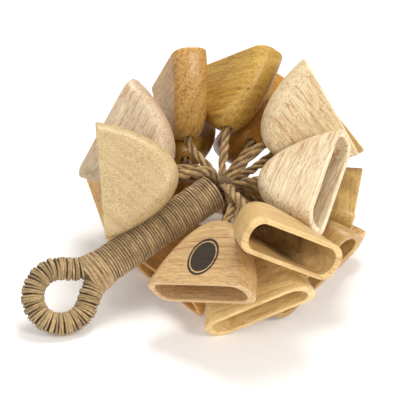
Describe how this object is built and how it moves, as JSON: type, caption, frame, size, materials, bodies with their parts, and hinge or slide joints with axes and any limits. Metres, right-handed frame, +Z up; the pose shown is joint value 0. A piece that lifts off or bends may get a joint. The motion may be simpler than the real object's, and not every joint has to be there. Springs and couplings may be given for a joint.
{
  "type": "castanet shell rattle",
  "caption": "Handheld rattle: hollow bell-shaped wooden castanet shells, each hung on its own knotted cord from a twine-wrapped handle with a hanging loop.",
  "frame": {"origin": "centre of the bounding box's underside, on the floor the rattle lies on", "axes": "+X along the longest extent, from the hanging loop's side towards the shells; +Z up from the floor; -Y is the front, where the open mouths of the lower shells face"},
  "size_m": [0.2963, 0.2834, 0.1932],
  "materials": {
    "wood_01": "satin",
    "wood_02": "satin",
    "wood_03": "satin",
    "wood_04": "satin",
    "wood_05": "satin",
    "wood_06": "satin",
    "wood_07": "satin",
    "wood_08": "satin",
    "wood_09": "satin",
    "wood_10": "satin",
    "wood_11": "satin",
    "wood_12": "satin",
    "wood_13": "satin",
    "wood_14": "satin",
    "wood_15": "satin",
    "wood_16": "satin",
    "wood_17": "satin",
    "wood_18": "satin",
    "wood_19": "satin",
    "wood_20": "satin",
    "cord_jute": "matte",
    "core_jute": "matte",
    "twine": "matte"
  },
  "bodies": {
    "handle": {"handle_core": "core_jute", "handle_wrap": "twine", "hub_lashing": "cord_jute", "loop_core": "core_jute", "loop_wrap": "twine"},
    "shell_01_on_cord": {"shell_01": "wood_01", "cord_01": "cord_jute"},
    "shell_02_on_cord": {"shell_02": "wood_02", "cord_02": "cord_jute"},
    "shell_03_on_cord": {"shell_03": "wood_03", "cord_03": "cord_jute"},
    "shell_04_on_cord": {"shell_04": "wood_04", "cord_04": "cord_jute"},
    "shell_05_on_cord": {"shell_05": "wood_05", "cord_05": "cord_jute"},
    "shell_06_on_cord": {"shell_06": "wood_06", "cord_06": "cord_jute"},
    "shell_07_on_cord": {"shell_07": "wood_07", "cord_07": "cord_jute"},
    "shell_08_on_cord": {"shell_08": "wood_08", "cord_08": "cord_jute"},
    "shell_09_on_cord": {"shell_09": "wood_09", "cord_09": "cord_jute"},
    "shell_10_on_cord": {"shell_10": "wood_10", "cord_10": "cord_jute"},
    "shell_11_on_cord": {"shell_11": "wood_11", "cord_11": "cord_jute"},
    "shell_12_on_cord": {"shell_12": "wood_12", "cord_12": "cord_jute"},
    "shell_13_on_cord": {"shell_13": "wood_13", "cord_13": "cord_jute"},
    "shell_14_on_cord": {"shell_14": "wood_14", "cord_14": "cord_jute"},
    "shell_15_on_cord": {"shell_15": "wood_15", "cord_15": "cord_jute"},
    "shell_16_on_cord": {"shell_16": "wood_16", "cord_16": "cord_jute"},
    "shell_17_on_cord": {"shell_17": "wood_17", "cord_17": "cord_jute"},
    "shell_18_on_cord": {"shell_18": "wood_18", "cord_18": "cord_jute"},
    "shell_19_on_cord": {"shell_19": "wood_19", "cord_19": "cord_jute"},
    "shell_20_on_cord": {"shell_20": "wood_20", "cord_20": "cord_jute"}
  },
  "joints": [
    {"name": "swing_01", "type": "hinge", "parent": "handle", "child": "shell_01_on_cord", "pos_m": [0.01334, 0.0072, 0.0972], "axis": [-0.4396, 0.6747, 0.5929], "range_deg": [0, 32]},
    {"name": "swing_02", "type": "hinge", "parent": "handle", "child": "shell_02_on_cord", "pos_m": [0.0091, 0.01616, 0.09405], "axis": [0.797, 0.4328, -0.4214], "range_deg": [0, 36]},
    {"name": "swing_03", "type": "hinge", "parent": "handle", "child": "shell_03_on_cord", "pos_m": [0.01246, 0.02206, 0.09159], "axis": [0.8964, 0.4417, -0.0365], "range_deg": [0, 60]},
    {"name": "swing_04", "type": "hinge", "parent": "handle", "child": "shell_04_on_cord", "pos_m": [0.01955, 0.02281, 0.09291], "axis": [0.34, -0.7729, -0.5357], "range_deg": [0, 29]},
    {"name": "swing_05", "type": "hinge", "parent": "handle", "child": "shell_05_on_cord", "pos_m": [0.02854, 0.01515, 0.09395], "axis": [-0.0499, -0.9987, 0.0119], "range_deg": [0, 24]},
    {"name": "swing_06", "type": "hinge", "parent": "handle", "child": "shell_06_on_cord", "pos_m": [0.03019, 0.00562, 0.09013], "axis": [-0.3257, -0.9084, -0.2623], "range_deg": [0, 40]},
    {"name": "swing_07", "type": "hinge", "parent": "handle", "child": "shell_07_on_cord", "pos_m": [0.02152, -0.00056, 0.09156], "axis": [-0.8482, -0.3855, -0.3632], "range_deg": [0, 60]},
    {"name": "swing_08", "type": "hinge", "parent": "handle", "child": "shell_08_on_cord", "pos_m": [0.02411, -0.00145, 0.08542], "axis": [-0.5465, 0.3168, -0.7753], "range_deg": [0, 27]},
    {"name": "swing_09", "type": "hinge", "parent": "handle", "child": "shell_09_on_cord", "pos_m": [0.0255, 0.00075, 0.07901], "axis": [0.6622, -0.399, -0.6343], "range_deg": [0, 9]},
    {"name": "swing_10", "type": "hinge", "parent": "handle", "child": "shell_10_on_cord", "pos_m": [0.02227, 0.01076, 0.07141], "axis": [0.7833, -0.2014, 0.5881], "range_deg": [0, 28]},
    {"name": "swing_11", "type": "hinge", "parent": "handle", "child": "shell_11_on_cord", "pos_m": [0.0089, 0.02151, 0.08546], "axis": [0.2809, 0.7707, -0.572], "range_deg": [0, 12]},
    {"name": "swing_12", "type": "hinge", "parent": "handle", "child": "shell_12_on_cord", "pos_m": [0.01468, 0.0248, 0.08384], "axis": [0.4691, -0.7682, -0.4357], "range_deg": [0, 9]},
    {"name": "swing_13", "type": "hinge", "parent": "handle", "child": "shell_13_on_cord", "pos_m": [0.02378, 0.02415, 0.08728], "axis": [-0.6575, -0.6622, 0.3595], "range_deg": [0, 15]},
    {"name": "swing_14", "type": "hinge", "parent": "handle", "child": "shell_14_on_cord", "pos_m": [0.02946, 0.01993, 0.08686], "axis": [0.4338, -0.8445, 0.3139], "range_deg": [0, 6]},
    {"name": "swing_15", "type": "hinge", "parent": "handle", "child": "shell_15_on_cord", "pos_m": [0.03165, 0.01524, 0.08181], "axis": [-0.895, -0.445, -0.0308], "range_deg": [0, 24]},
    {"name": "swing_16", "type": "hinge", "parent": "handle", "child": "shell_16_on_cord", "pos_m": [0.02872, 0.01332, 0.07547], "axis": [-0.1676, 0.9413, 0.2929], "range_deg": [0, 11]},
    {"name": "swing_17", "type": "hinge", "parent": "handle", "child": "shell_17_on_cord", "pos_m": [0.02741, 0.01985, 0.07813], "axis": [0.9486, 0.2895, 0.1277], "range_deg": [0, 24]},
    {"name": "swing_18", "type": "hinge", "parent": "handle", "child": "shell_18_on_cord", "pos_m": [0.0302, 0.00605, 0.07926], "axis": [0.6903, 0.1372, -0.7104], "range_deg": [0, 26]},
    {"name": "swing_19", "type": "hinge", "parent": "handle", "child": "shell_19_on_cord", "pos_m": [0.01297, 0.02186, 0.07747], "axis": [-0.1292, -0.7688, 0.6263], "range_deg": [0, 40]},
    {"name": "swing_20", "type": "hinge", "parent": "handle", "child": "shell_20_on_cord", "pos_m": [0.02015, 0.02292, 0.07713], "axis": [-0.5217, 0.4238, -0.7405], "range_deg": [0, 60]}
  ]
}
